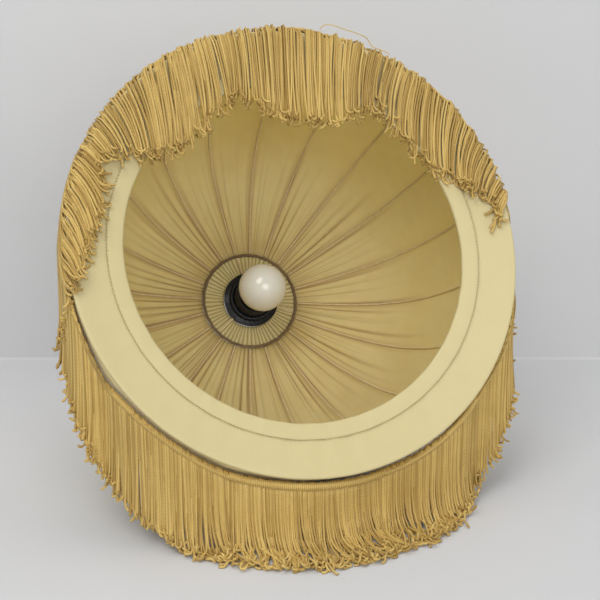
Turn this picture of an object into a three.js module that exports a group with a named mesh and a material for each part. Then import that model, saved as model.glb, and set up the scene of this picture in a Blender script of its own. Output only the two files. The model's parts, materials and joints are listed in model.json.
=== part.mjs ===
// A gathered-silk dome lamp shade with a looped bullion fringe, lying on its side on a floor.
//
// The shade is modelled in its own axis frame: its rim lies in the plane z = 0, its crown is below it
// at negative z, and +z leads out through its opening. The last group leans and turns it into the
// pose in which it lies, with +Z up, and puts the origin under the middle of its box, on the floor.
import * as THREE from "three";

// ---------------------------------------------------------------- driving dimensions, in mm and degrees
const GAP = 0.4; // between pieces that touch

const RIM_RADIUS = 200; // outermost edge of the silk at the rim
const SHADE_DEPTH = 219; // from the rim plane to the outside of the silk at the crown
const CROWN_RADIUS = 50; // centre line of the wire ring at the crown
const SHOULDER = { reach: 132, rise: 6 }; // how far the flat top runs out, and how much it rises
const FLANK = { bulge: 6, depth: 160 }; // how full the side is above the rim
const COVER_WALL = 1; // gathered silk
const COVER_ROWS = 12; // rows of flats from rim to crown

const RIB_COUNT = 20;
const RIB_TURN = -7.4; // where the first rib stands, from the +x side
const RIB_WIRE = 0.8; // radius of a rib with its tape
const RIM_WIRE = 2.5;
const OPENING_WIRE = 2;
const CROWN_WIRE = 1.6;
const STRUT_WIRE = 1.3;
const STRUT_COUNT = 5;
const ARM_WIRE = 1.2;
const ARM_COUNT = 3;
const ARM_TURN = 100;

const OPENING_RADIUS = 154; // edge of the satin under-brim
const BRIM_RECESS = 14; // how far the under-brim sinks from the rim to the opening
const BRIM_WALL = 1.2;
const BINDING = { width: 12, wall: 0.8, lip: 2.4 };

const SWAG_COUNT = 10;
const HEADER = { width: 8, wall: 2.2, low: 12, high: 32, rise: 10 }; // braid, and its distance behind the rim
const FRINGE_LENGTH = 105;
const FRINGE_WALL = 8;
const STRAND_START = 28; // the farthest behind the rim that a hanging strand starts
const FRINGE_FLARE = 23; // how far the side swags stand out at their ends
const FRINGE_CLEAR = 1.2; // between the blanket of strands and what it lies on
const CHORD_SAG = 2; // what a flat between two strand lines cuts off a curve

const SKIRT = { radius: 20, wall: 2.5, front: 27, back: 6.6 }; // threaded skirt, before and behind the fitter
const FITTER = { slack: 0.5, band: 6.5, wall: 1.6, sink: 6 }; // sink: from the crown's top to its middle plane
const FITTER_DEPTH = SHADE_DEPTH - FITTER.sink;
const FITTER_BORE = SKIRT.radius + FITTER.slack;
const FITTER_RIM = FITTER_BORE + FITTER.band;
const PLEATS = { slack: 0.5, wall: 1.2 };
const SHADE_RING = { band: 8.6, wall: 3.1, flange: 2.5, height: 8.6 };
const STOP_RING = { band: 5.6, height: 4.6 };
const CAP = { step: 2, neck: 9, length: 28, wall: 2.5 }; // step: how far it stands out past the skirt
const GRIP = { radius: 6.5, bore: 3.4, length: 12 };
const INSERT = { height: 9, clearance: 0.4 };
const SHELL = { clearance: 0.8, wall: 0.6, front: 23 };
const CONTACT = { length: 12, width: 4, wall: 0.6 };

const BULB = { radius: 24, length: 75, cap: 13, capWall: 0.7, capLength: 20, glass: 1 };
const BULB_NECK = BULB.cap - BULB.capWall - GAP;
const EYELET = { radius: 4.5, height: 1.5 };
const INSULATOR = { height: 3.2, step: 0.6 };

const LEAN = 62.43; // from standing on the crown to the pose in which it lies
const YAW = 17.33;

// ---------------------------------------------------------------- materials
const finish = (color, roughness, metalness = 0) =>
  new THREE.MeshStandardMaterial({ color, roughness, metalness });
const silk = finish(0xa8965a, 0.62);
const satin = finish(0xd6cb9c, 0.45);
const trim = finish(0xb08c45, 0.7);
const tapedWire = finish(0x9a8248, 0.8);
const bakelite = finish(0x14161a, 0.3);
const porcelain = finish(0xe4e1d8, 0.35);
const brass = finish(0xb99a55, 0.35, 1);
const nickel = finish(0xb9b9b4, 0.3, 1);
const opalGlass = finish(0xe2d3cb, 0.2);
const darkGlass = finish(0x1b1b1f, 0.25);

// ---------------------------------------------------------------- small tools
const rad = THREE.MathUtils.degToRad;
const lerp = THREE.MathUtils.lerp;
const at = (radius, degrees, z) =>
  new THREE.Vector3(radius * Math.cos(rad(degrees)), radius * Math.sin(rad(degrees)), z);

// The floor and the way down, seen from the shade's own frame.
const UP = new THREE.Vector3(0, Math.sin(rad(LEAN)), Math.cos(rad(LEAN)));
const FORWARD = new THREE.Vector3(0, -Math.cos(rad(LEAN)), Math.sin(rad(LEAN)));

const shade = new THREE.Group();
function add(name, geometry, material, group = shade) {
  const mesh = new THREE.Mesh(facingOut(geometry), material);
  mesh.name = name;
  group.add(mesh);
  return mesh;
}

// Turns a closed geometry's faces outwards when its signed volume comes out negative.
function facingOut(geometry) {
  const g = geometry.index ? geometry : geometry.clone();
  const corner = [new THREE.Vector3(), new THREE.Vector3(), new THREE.Vector3()];
  const p = g.attributes.position;
  const count = g.index ? g.index.count : p.count;
  const index = Array.from({ length: count }, (_, i) => (g.index ? g.index.getX(i) : i));
  let volume = 0;
  for (let i = 0; i < count; i += 3) {
    corner.forEach((c, k) => c.fromBufferAttribute(p, index[i + k]));
    volume += corner[0].dot(corner[1].clone().cross(corner[2]));
  }
  g.setIndex(volume < 0 ? index.reverse() : index);
  return g;
}

// A solid turned round the shade's axis from a closed outline of [radius, z] points.
function turned(outline, segments = 32) {
  const points = outline.map(([r, z]) => new THREE.Vector2(r, z));
  const onAxis = points[0].x === 0 && points.at(-1).x === 0;
  if (!onAxis) points.push(points[0].clone());
  return new THREE.LatheGeometry(points, segments).rotateX(Math.PI / 2);
}

// A solid skinned over closed rings of points. Its ends are capped unless the rings join up.
function skinned(rings, joined = false) {
  const around = rings[0].length;
  const index = [];
  const bands = joined ? rings.length : rings.length - 1;
  for (let i = 0; i < bands; i++)
    for (let j = 0; j < around; j++) {
      const a = i * around + j;
      const b = i * around + ((j + 1) % around);
      const c = ((i + 1) % rings.length) * around + j;
      const d = ((i + 1) % rings.length) * around + ((j + 1) % around);
      index.push(a, b, c, b, d, c);
    }
  if (!joined) {
    const last = (rings.length - 1) * around;
    const half = around / 2; // each end cap is a strip between the ring's two halves
    for (let j = 0; j < half - 1; j++) {
      const k = around - 1 - j;
      index.push(j, k, j + 1, k, k - 1, j + 1);
      index.push(last + j, last + j + 1, last + k, last + k, last + j + 1, last + k - 1);
    }
  }
  const g = new THREE.BufferGeometry().setFromPoints(rings.flat());
  return g.setIndex(index);
}

// A round wire along a curve, with flat ends.
function wire(curve, radius, steps, sides = 5) {
  const section = new THREE.Shape();
  for (let i = 0; i < sides; i++) {
    const a = (i / sides) * 2 * Math.PI;
    const [x, y] = [radius * Math.cos(a), radius * Math.sin(a)];
    if (i) section.lineTo(x, y);
    else section.moveTo(x, y);
  }
  return new THREE.ExtrudeGeometry(section, { steps, extrudePath: curve, bevelEnabled: false });
}

// ---------------------------------------------------------------- the shade's outline
// The silk's outer face from the rim, at v = 0, to the crown, at v = 1: [radius, z].
const outlineCurve = new THREE.CubicBezierCurve(
  new THREE.Vector2(RIM_RADIUS, 0),
  new THREE.Vector2(RIM_RADIUS + FLANK.bulge, -FLANK.depth),
  new THREE.Vector2(CROWN_RADIUS + SHOULDER.reach, -SHADE_DEPTH - SHOULDER.rise),
  new THREE.Vector2(CROWN_RADIUS + CROWN_WIRE / 2, -SHADE_DEPTH),
);

// The same outline moved inwards by an inset, square to itself.
function outline(v, inset = 0) {
  const p = outlineCurve.getPoint(v);
  const t = outlineCurve.getTangent(v);
  return [p.x + t.y * inset, p.y - t.x * inset];
}

// The radius of the silk's outer face at a depth behind the rim.
function flankRadius(depth) {
  let [low, high] = [0, 0.6];
  for (let i = 0; i < 24; i++) {
    const mid = (low + high) / 2;
    if (-outline(mid)[1] < depth) low = mid;
    else high = mid;
  }
  return outline(low)[0];
}

const ribAngle = (k) => RIB_TURN + (k * 360) / RIB_COUNT;

// Silk is stretched flat between the ribs and round where it meets the two end rings.
const HALF_BAY = 180 / RIB_COUNT;
const bayFlatness = (v) => (1 - Math.cos(rad(HALF_BAY))) * Math.sin(Math.PI * v);
const coverPoint = (v, inset, degrees, midBay) => {
  const [r, z] = outline(v, inset);
  return at(r * (midBay ? 1 - bayFlatness(v) : 1), degrees, z);
};

// ---------------------------------------------------------------- frame of taped wire
const brimFront = (r) => (-BRIM_RECESS * (RIM_RADIUS - r)) / (RIM_RADIUS - OPENING_RADIUS);
const wireUnderBrim = (r, radius) => brimFront(r) - BRIM_WALL - GAP - radius * 1.05;

const ribInset = COVER_WALL + 1.5 * GAP + RIB_WIRE;
const rimRing = RIM_RADIUS - COVER_WALL - 2 * GAP - RIM_WIRE - 1;
const rimRingZ = wireUnderBrim(rimRing, RIM_WIRE);
const openingRing = OPENING_RADIUS + OPENING_WIRE + GAP + 1;
const openingRingZ = wireUnderBrim(openingRing, OPENING_WIRE);
const crownRingZ = -SHADE_DEPTH + COVER_WALL + GAP + CROWN_WIRE;

function addRing(name, radius, z, wireRadius, segments) {
  add(name, new THREE.TorusGeometry(radius, wireRadius, 6, segments).translate(0, 0, z), tapedWire);
}

function addRibs() {
  const start = (-rimRingZ + RIM_WIRE + GAP + 0.5) / SHADE_DEPTH; // depth share, near the rim
  const steps = 10;
  let from = 0;
  while (-outline(from, ribInset)[1] < start * SHADE_DEPTH) from += 0.002;
  let to = 1;
  while (outline(to, ribInset)[0] < CROWN_RADIUS + CROWN_WIRE + GAP + 0.2) to -= 0.002;
  for (let k = 0; k < RIB_COUNT; k++) {
    const points = Array.from({ length: steps + 1 }, (_, i) => {
      const [r, z] = outline(lerp(from, to, i / steps), ribInset);
      return at(r, ribAngle(k), z);
    });
    const name = "rib_" + String(k + 1).padStart(2, "0");
    add(name, wire(new THREE.CatmullRomCurve3(points), RIB_WIRE, steps), tapedWire);
  }
}

function addStruts() {
  for (let k = 0; k < STRUT_COUNT; k++) {
    const degrees = ribAngle((k * RIB_COUNT) / STRUT_COUNT);
    const outer = at(rimRing - RIM_WIRE - GAP, degrees, rimRingZ - STRUT_WIRE / 2);
    const inner = at(openingRing + OPENING_WIRE + GAP, degrees, openingRingZ - STRUT_WIRE / 2);
    add("rim_strut_" + (k + 1), wire(new THREE.LineCurve3(outer, inner), STRUT_WIRE, 1), tapedWire);
  }
}

// The fitter ring is clamped on the lampholder, and three arms carry it in the crown ring.
function addSpider() {
  const [bore, rim] = [FITTER_BORE, FITTER_RIM];
  const [near, far] = [-FITTER_DEPTH + FITTER.wall / 2, -FITTER_DEPTH - FITTER.wall / 2];
  add("fitter_ring", turned([[bore, far], [rim, far], [rim, near], [bore, near]], 40), tapedWire);
  for (let k = 0; k < ARM_COUNT; k++) {
    const degrees = ARM_TURN + (k * 360) / ARM_COUNT;
    const inner = at(rim + GAP, degrees, -FITTER_DEPTH - ARM_WIRE / 2);
    const outer = at(CROWN_RADIUS - CROWN_WIRE - GAP, degrees, crownRingZ);
    add("spider_arm_" + (k + 1), wire(new THREE.LineCurve3(inner, outer), ARM_WIRE, 1), tapedWire);
  }
}

// ---------------------------------------------------------------- fabric
// The cover is sewn from two halves that meet along opposite ribs, with a gap of GAP between them.
function addCover() {
  const outside = Array.from({ length: COVER_ROWS }, (_, i) => [i / (COVER_ROWS - 1), 0]);
  const inside = outside.map(([v]) => [v, COVER_WALL]).reverse();
  const levels = [...outside, ...inside];
  for (const half of [0, 1]) {
    const rings = Array.from({ length: RIB_COUNT + 1 }, (_, j) => {
      const degrees = ribAngle((half * RIB_COUNT) / 2 + j / 2);
      const apart = j === 0 ? GAP / 2 : j === RIB_COUNT ? -GAP / 2 : 0;
      const along = at(apart, degrees + 90, 0);
      return levels.map(([v, inset]) => coverPoint(v, inset, degrees, j % 2 === 1).add(along));
    });
    add("dome_cover_" + (half + 1), skinned(rings), silk);
  }
}

function addCrownPleats() {
  const rim = CROWN_RADIUS - GAP;
  const top = -SHADE_DEPTH;
  const low = top + PLEATS.wall;
  const bore = FITTER_RIM + PLEATS.slack;
  const profile = [[bore, top], [rim, top], [rim, low], [bore, low]];
  add("crown_pleats", turned(profile, 40), silk);
}

function addUnderBrim() {
  const outer = RIM_RADIUS - COVER_WALL - 3 * GAP;
  const section = [
    [outer, brimFront(outer)],
    [outer, brimFront(outer) - BRIM_WALL],
    [OPENING_RADIUS, -BRIM_RECESS - BRIM_WALL],
    [OPENING_RADIUS, -BRIM_RECESS],
  ];
  add("under_brim", turned(section, 60), satin);

  // The binding is folded over the opening's edge: a band on the front and a lip down the edge.
  const { width, wall, lip } = BINDING;
  const edge = OPENING_RADIUS - GAP;
  const band = OPENING_RADIUS + width;
  const strip = [
    [band, brimFront(band) + GAP],
    [band, brimFront(band) + GAP + wall],
    [edge - wall, -BRIM_RECESS + GAP + wall],
    [edge - wall, -BRIM_RECESS - lip],
    [edge, -BRIM_RECESS - lip],
    [edge, -BRIM_RECESS + GAP],
  ];
  add("opening_binding", turned(strip, 60), satin);
}

// ---------------------------------------------------------------- fringe
const swagAngle = (k) => RIB_TURN + (k * 360) / SWAG_COUNT;

// The braid's distance behind the rim: least in the middle of a swag and most at its joints, which stand
// farther behind at the top than at the bottom.
function headerDepth(degrees) {
  const turn = (((degrees - RIB_TURN) * SWAG_COUNT) / 360) % 1;
  const u = 2 * (turn < 0 ? turn + 1 : turn) - 1;
  const joint = HEADER.high + HEADER.rise * Math.sin(rad(degrees));
  return lerp(HEADER.low, joint, u * u);
}

const headerBack = (degrees) => flankRadius(headerDepth(degrees)) + GAP;

function addHeader() {
  const samples = SWAG_COUNT * 8;
  const half = HEADER.width / 2;
  const rings = Array.from({ length: samples }, (_, i) => {
    const degrees = RIB_TURN + (i * 360) / samples;
    const z = -headerDepth(degrees);
    const r = headerBack(degrees);
    return [
      at(r, degrees, z - half),
      at(r, degrees, z + half),
      at(r + HEADER.wall, degrees, z + half),
      at(r + HEADER.wall, degrees, z - half),
    ];
  });
  add("fringe_header", skinned(rings, true), trim);
}

// How far the floor lies below the middle of the rim: the silk's lowest point rests on it.
const floorDrop = (() => {
  let drop = 0;
  for (let k = 0; k < RIB_COUNT; k++)
    for (let i = 0; i < COVER_ROWS; i++)
      drop = Math.max(drop, -coverPoint(i / (COVER_ROWS - 1), 0, ribAngle(k), false).dot(UP));
  return drop;
})();
const height = (p) => p.dot(UP) + floorDrop;

// A strand that lies over the rim: forward along the silk, round the edge, and down the brim.
// Each place is [point, direction out of the blanket].
function strandOverRim(degrees, steps) {
  const stand = FRINGE_WALL / 2 + FRINGE_CLEAR;
  const out = at(1, degrees, 0);
  const ahead = new THREE.Vector3(0, 0, 1);
  const depth = headerDepth(degrees) - HEADER.width / 2 - FRINGE_CLEAR - CHORD_SAG;
  const line = [[at(flankRadius(depth) + stand, degrees, -depth), out]];
  for (const bend of [0, 45, 90]) {
    const away = out.clone().multiplyScalar(Math.cos(rad(bend))).setZ(Math.sin(rad(bend)));
    line.push([at(RIM_RADIUS, degrees, 0).addScaledVector(away, stand), away]);
  }
  const left = FRINGE_LENGTH - depth - (Math.PI / 2) * stand;
  const falls = steps + 1 - line.length;
  for (let i = 1; i <= falls; i++) {
    const p = at(RIM_RADIUS, degrees, stand);
    p.y -= (left * i) / falls;
    const r = Math.hypot(p.x, p.y);
    if (r < RIM_RADIUS) p.z += Math.max(brimFront(r), -BRIM_RECESS) + BINDING.wall + 2.5 * CHORD_SAG;
    if (r >= OPENING_RADIUS) line.push([p, ahead]);
    else {
      const edge = Math.sqrt(OPENING_RADIUS ** 2 - p.x ** 2);
      p.z -= ((edge - p.y) * UP.z) / UP.y;
      line.push([p, FORWARD]);
    }
  }
  return line;
}

// A strand that hangs from the braid, stands clear of the rim, and lies forward on the floor. The blanket's face
// is square to the rim's run and to the strands' fall. Near a joint it starts before the braid's dip, because the
// braid there runs along the strands' fall.
function strandHanging(degrees, steps) {
  const half = FRINGE_WALL / 2;
  const a = rad(degrees);
  const square = new THREE.Vector3(UP.z * Math.cos(a), UP.z * Math.sin(a), -UP.y * Math.sin(a)).normalize();
  const stand = HEADER.wall + FRINGE_CLEAR + CHORD_SAG + Math.hypot(square.x, square.y) * half;
  const depth = Math.min(headerDepth(degrees), STRAND_START);
  const clear = flankRadius(depth) + GAP + stand;
  const p = at(clear, degrees, -depth);
  const step = FRINGE_LENGTH / steps;
  const corner = UP.clone().add(square);
  const line = [[p.clone(), square]];
  for (let i = 1; i <= steps; i++) {
    const drop = Math.min(step, Math.max(height(p) - half, 0));
    p.addScaledVector(UP, -drop).addScaledVector(FORWARD, step - drop);
    const least = clear + (FRINGE_FLARE * i) / steps;
    const push = Math.max(least / Math.hypot(p.x, p.y), 1);
    const away = drop === step ? square : drop > 0 ? corner : UP;
    line.push([new THREE.Vector3(p.x * push, p.y * push, p.z), away]);
  }
  return line;
}

// One swag's strands as a plain blanket of even thickness, laid along a grid of strand lines.
function addSwag(k) {
  const columns = 5;
  const steps = 10;
  const joint = 0.25; // degrees left free at each side
  const from = swagAngle(k) + joint;
  const to = swagAngle(k + 1) - joint;
  const middle = Math.sin(rad((from + to) / 2));
  const lies = middle > Math.sin(rad(20)) ? strandOverRim : strandHanging;
  const rings = Array.from({ length: columns }, (_, i) => {
    const line = lies(lerp(from, to, i / (columns - 1)), steps);
    const face = (offset) =>
      line.map(([p, away]) => {
        const q = p.clone().addScaledVector(away, offset);
        return q.addScaledVector(UP, Math.max(-height(q), 0));
      });
    return [...face(FRINGE_WALL / 2), ...face(-FRINGE_WALL / 2).reverse()];
  });
  add("fringe_swag_" + String(k + 1).padStart(2, "0"), skinned(rings), trim);
}

// ---------------------------------------------------------------- lampholder
function addLampholder() {
  const { radius, wall } = SKIRT;
  const mouth = FITTER_DEPTH - SKIRT.front;
  const foot = FITTER_DEPTH + SKIRT.back;
  const inner = radius - wall;
  const seatZ = -FITTER_DEPTH + FITTER.wall / 2 + GAP;
  const stopZ = -FITTER_DEPTH - FITTER.wall / 2 - GAP;
  const skirt = [[inner, -foot], [radius, -foot], [radius, -mouth], [inner, -mouth]];
  add("holder_skirt", turned(skirt, 40), bakelite);

  const bore = radius + GAP;
  const ring = SHADE_RING;
  const [hub, rim] = [bore + ring.wall, bore + ring.band];
  const loose = [
    [bore, seatZ],
    [rim, seatZ],
    [rim, seatZ + ring.flange],
    [hub, seatZ + ring.flange + 0.8],
    [hub, seatZ + ring.height],
    [bore, seatZ + ring.height],
  ];
  add("shade_ring", turned(loose, 40), bakelite);
  const stop = STOP_RING;
  const fixed = [
    [bore, stopZ - stop.height],
    [bore + stop.band, stopZ - stop.height],
    [bore + stop.band, stopZ],
    [bore, stopZ],
  ];
  add("stop_ring", turned(fixed, 40), bakelite);

  // The cap closes the skirt's back and narrows to the cord entry.
  const capTop = Math.max(foot + GAP, stop.height - stopZ + GAP);
  const capEnd = capTop + CAP.length;
  const bend = 10;
  const shoulder = radius + CAP.step;
  const hollow = shoulder - CAP.wall;
  const cap = [
    [hollow, -capTop],
    [shoulder, -capTop],
    [shoulder, -capEnd + bend],
    [shoulder - bend / 3, -capEnd + bend / 3],
    [CAP.neck, -capEnd],
    [GRIP.bore, -capEnd],
    [GRIP.bore, -capEnd + CAP.wall],
    [hollow - bend / 2, -capEnd + bend / 2 + CAP.wall],
    [hollow, -capEnd + bend + CAP.wall],
  ];
  add("holder_cap", turned(cap), bakelite);
  const gripTop = capEnd + GAP;
  const grip = [
    [GRIP.bore, -gripTop],
    [GRIP.bore, -gripTop - GRIP.length],
    [GRIP.radius - 1, -gripTop - GRIP.length],
    [GRIP.radius, -gripTop - GRIP.length + 1.5],
    [GRIP.radius, -gripTop],
  ];
  add("cord_grip", turned(grip, 24), bakelite);

  // Inside: a porcelain insert, the threaded brass shell and the spring contact.
  const insertR = inner - INSERT.clearance;
  const insertFront = -foot + INSERT.height;
  const insert = [[0, -foot], [insertR, -foot], [insertR, insertFront], [0, insertFront]];
  add("holder_insert", turned(insert), porcelain);
  const shellIn = BULB.cap + SHELL.clearance;
  const shellOut = shellIn + SHELL.wall;
  const shellMouth = FITTER_DEPTH - SHELL.front;
  const shellFoot = insertFront + GAP;
  const shell = [
    [shellIn, shellFoot],
    [shellOut, shellFoot],
    [shellOut, -shellMouth],
    [shellIn, -shellMouth],
  ];
  add("screw_shell", turned(shell), brass);
  const tongue = new THREE.BoxGeometry(CONTACT.length, CONTACT.width, CONTACT.wall);
  add("centre_contact", tongue.translate(0, 0, shellFoot + CONTACT.wall / 2), brass);
  return shellFoot + CONTACT.wall + GAP;
}

// ---------------------------------------------------------------- bulb
function addBulb(seatZ) {
  const eyelet = [[0, seatZ], [EYELET.radius - 0.6, seatZ], [EYELET.radius, seatZ + 0.6]];
  eyelet.push([EYELET.radius, seatZ + EYELET.height], [0, seatZ + EYELET.height]);
  add("bulb_eyelet", turned(eyelet, 20), nickel);

  const collar = seatZ + EYELET.height + GAP;
  const insulator = [
    [0, collar],
    [EYELET.radius + 1, collar],
    [BULB.cap - INSULATOR.step, collar + INSULATOR.height],
    [0, collar + INSULATOR.height],
  ];
  add("bulb_insulator", turned(insulator, 24), darkGlass);

  const capFoot = collar + INSULATOR.height + GAP;
  const capFront = capFoot + BULB.capLength;
  const inner = BULB_NECK + GAP;
  const cap = [[inner, capFoot], [BULB.cap, capFoot], [BULB.cap, capFront], [inner, capFront]];
  add("bulb_cap", turned(cap), nickel);

  // The glass: a neck held in the cap, swelling into a ball, blown as one open-necked shell.
  const ballZ = seatZ + BULB.length - BULB.radius;
  const wall = (inset) => {
    const line = [[BULB_NECK - inset, capFoot + 4], [BULB_NECK - inset, capFront]];
    const from = -68;
    const to = 90;
    const steps = 10;
    for (let i = 0; i <= steps; i++) {
      const a = rad(lerp(from, to, i / steps));
      const r = (BULB.radius - inset) * Math.cos(a);
      if (r < BULB_NECK && a < 0) continue;
      line.push([i === steps ? 0 : r, ballZ + (BULB.radius - inset) * Math.sin(a)]);
    }
    return line;
  };
  const glass = [...wall(0), ...wall(BULB.glass).reverse()];
  const geometry = new THREE.LatheGeometry(
    [...glass, glass[0]].map(([r, z]) => new THREE.Vector2(r, z)),
    24,
  );
  add("bulb_glass", geometry.rotateX(Math.PI / 2), opalGlass);
}

// ---------------------------------------------------------------- assembly
addRing("outer_rim_wire", rimRing, rimRingZ, RIM_WIRE, 40);
addRing("opening_wire", openingRing, openingRingZ, OPENING_WIRE, 40);
addRing("crown_ring", CROWN_RADIUS, crownRingZ, CROWN_WIRE, 24);
addRibs();
addStruts();
addSpider();
addCover();
addCrownPleats();
addUnderBrim();
addHeader();
for (let k = 0; k < SWAG_COUNT; k++) addSwag(k);
addBulb(addLampholder());

shade.rotation.x = rad(LEAN);
const turn = new THREE.Group();
turn.rotation.z = rad(YAW);
turn.add(shade);
const lampShade = new THREE.Group();
lampShade.name = "lamp_shade";
lampShade.add(turn);
lampShade.updateMatrixWorld(true);
const box = new THREE.Box3().setFromObject(lampShade, true);
turn.position.set(-(box.min.x + box.max.x) / 2, -(box.min.y + box.max.y) / 2, -box.min.z);

export default lampShade;
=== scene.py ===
"""A gathered-silk dome lamp shade with a scalloped bullion fringe, lying on its side on a pale floor.

Lengths inside the shape functions are millimetres in the shade's own frame: the rim lies in the plane z = 0,
the crown is below it, +z leads out through the opening and +y is up the leaning rim. to_room() carries such
points into the row frame in metres.
"""

import json
import math

import bpy
import numpy as np
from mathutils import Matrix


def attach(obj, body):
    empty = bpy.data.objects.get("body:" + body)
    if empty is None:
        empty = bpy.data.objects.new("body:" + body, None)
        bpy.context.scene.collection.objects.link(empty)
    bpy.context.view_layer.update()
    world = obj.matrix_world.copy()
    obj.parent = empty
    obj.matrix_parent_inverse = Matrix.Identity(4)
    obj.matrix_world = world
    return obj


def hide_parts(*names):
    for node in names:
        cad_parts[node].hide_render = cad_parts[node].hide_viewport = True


bl_info = {
    "name": "Fringed lamp shade",
    "version": (1, 0, 0),
    "blender": (4, 5, 0),
    "location": "View3D > Sidebar > Lamp shade",
    "description": "Dresses the lamp shade's frame in silk, satin, braid and bullion fringe",
    "category": "Add Mesh",
}

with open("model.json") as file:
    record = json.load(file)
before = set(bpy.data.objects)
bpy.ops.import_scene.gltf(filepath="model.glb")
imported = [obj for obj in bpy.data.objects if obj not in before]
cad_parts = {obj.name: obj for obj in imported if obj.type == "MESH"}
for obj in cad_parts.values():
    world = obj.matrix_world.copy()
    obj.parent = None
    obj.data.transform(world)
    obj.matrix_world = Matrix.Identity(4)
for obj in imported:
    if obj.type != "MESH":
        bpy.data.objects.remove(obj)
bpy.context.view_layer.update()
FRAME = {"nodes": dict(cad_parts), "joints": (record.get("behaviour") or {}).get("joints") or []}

# ------------------------------------------------------------------ the shade's own frame
RIM = 200.0
DEPTH = 219.0
CROWN = 50.0
OPENING = 154.0
RECESS = 14.0
RIBS = 20
RIB_TURN = math.radians(-7.4)
SWAGS = 10
BAY = 2 * math.pi / RIBS
SEED = 20


def shade_frame():
    """The shade's own frame in the room: the axis is the joints' axis, x is level, and y completes the set.
    The rim's middle is the foot of the axis at the place where the opening's corner rings lie."""
    hinge = next(j for j in FRAME["joints"] if j["name"] == "bulb_turn")
    out = np.array(hinge["axis"], float)
    out /= np.linalg.norm(out)
    level = np.cross([0.0, 0.0, 1.0], out)
    level /= np.linalg.norm(level)
    turn = np.stack([level, np.cross(out, level), out])
    return turn, np.array(hinge["pos_m"], float) + 0.160 * out


TURN, MIDDLE = shade_frame()
UP = TURN[:, 2].copy()
FORWARD = np.array([0.0, -UP[2], UP[1]])
FLOOR_DROP = MIDDLE[2] * 1000


def to_room(points):
    """Millimetres in the shade's frame to metres in the row frame: turn, scale, then shift to the rim's middle."""
    return points @ TURN / 1000 + MIDDLE


def polar(radius, angle, z):
    """(radius cos angle, radius sin angle, z), broadcast over arrays."""
    return np.stack(np.broadcast_arrays(radius * np.cos(angle), radius * np.sin(angle), z), -1)


def unit(v):
    """Each vector over its own length."""
    return v / np.maximum(np.linalg.norm(v, axis=-1, keepdims=True), 1e-9)


def ease(x, low, high):
    """3t^2 - 2t^3 of t, where t runs from 0 at low to 1 at high and is clamped outside."""
    t = np.clip((x - low) / (high - low), 0, 1)
    return t * t * (3 - 2 * t)


def outline(v, inset=0.0):
    """The silk's outer face: the cubic Bezier curve of (radius, z) from the rim at v = 0 to the crown at v = 1,
    moved inwards by inset along its own normal."""
    p = np.array([[RIM, 0], [RIM + 6, -160], [CROWN + 132, -DEPTH - 6], [CROWN + 1, -DEPTH]], float)
    v = np.asarray(v, float)[..., None]
    place = (1 - v) ** 3 * p[0] + 3 * (1 - v) ** 2 * v * p[1] + 3 * (1 - v) * v**2 * p[2] + v**3 * p[3]
    along = 3 * (1 - v) ** 2 * (p[1] - p[0]) + 6 * (1 - v) * v * (p[2] - p[1]) + 3 * v**2 * (p[3] - p[2])
    along = unit(along)
    r = place[..., 0] + along[..., 1] * inset
    z = place[..., 1] - along[..., 0] * inset
    return r, z


V_TABLE = np.linspace(0, 0.6, 400)
R_TABLE, Z_TABLE = outline(V_TABLE)


def flank_radius(depth):
    """The silk's outer radius at a depth behind the rim, read off the outline by linear interpolation."""
    return np.interp(depth, -Z_TABLE, R_TABLE)


def brim_front(r):
    """The under-brim's front face: a cone that sinks from the rim to the opening's edge."""
    return -RECESS * (RIM - r) / (RIM - OPENING)


def header_depth(angle):
    """The braid's distance behind the rim: 12 mm in the middle of a swag, rising as a parabola to its joints at
    32 + 10 sin(angle) mm, which is most at the top and least at the bottom."""
    u = 2 * np.mod((angle - RIB_TURN) * SWAGS / (2 * math.pi), 1.0) - 1
    return 12 + (20 + 10 * np.sin(angle)) * u * u


def fold_profile(angle, low, high, count, seed):
    """A closed fold line round the axis: the mean of `count` cosines with whole random frequencies between low
    and high and random phases, scaled to about -1 to 1."""
    rng = np.random.default_rng(seed)
    waves = rng.integers(low, high, count)[:, None]
    phase = rng.uniform(0, 2 * math.pi, count)[:, None]
    return np.cos(waves * np.ravel(angle)[None] + phase).sum(0).reshape(np.shape(angle)) / math.sqrt(count) / 1.3


# ------------------------------------------------------------------ meshes
def grid_faces(rows, columns, wrap_rows=False, wrap_columns=False):
    """The quads of a rows by columns grid of points as an (n, 4) array, joined up across either way if asked."""
    i = np.arange(rows if wrap_rows else rows - 1)[:, None]
    j = np.arange(columns if wrap_columns else columns - 1)[None]
    i2, j2 = (i + 1) % rows, (j + 1) % columns
    return np.stack([i * columns + j, i * columns + j2, i2 * columns + j2, i2 * columns + j], -1).reshape(-1, 4)


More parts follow.
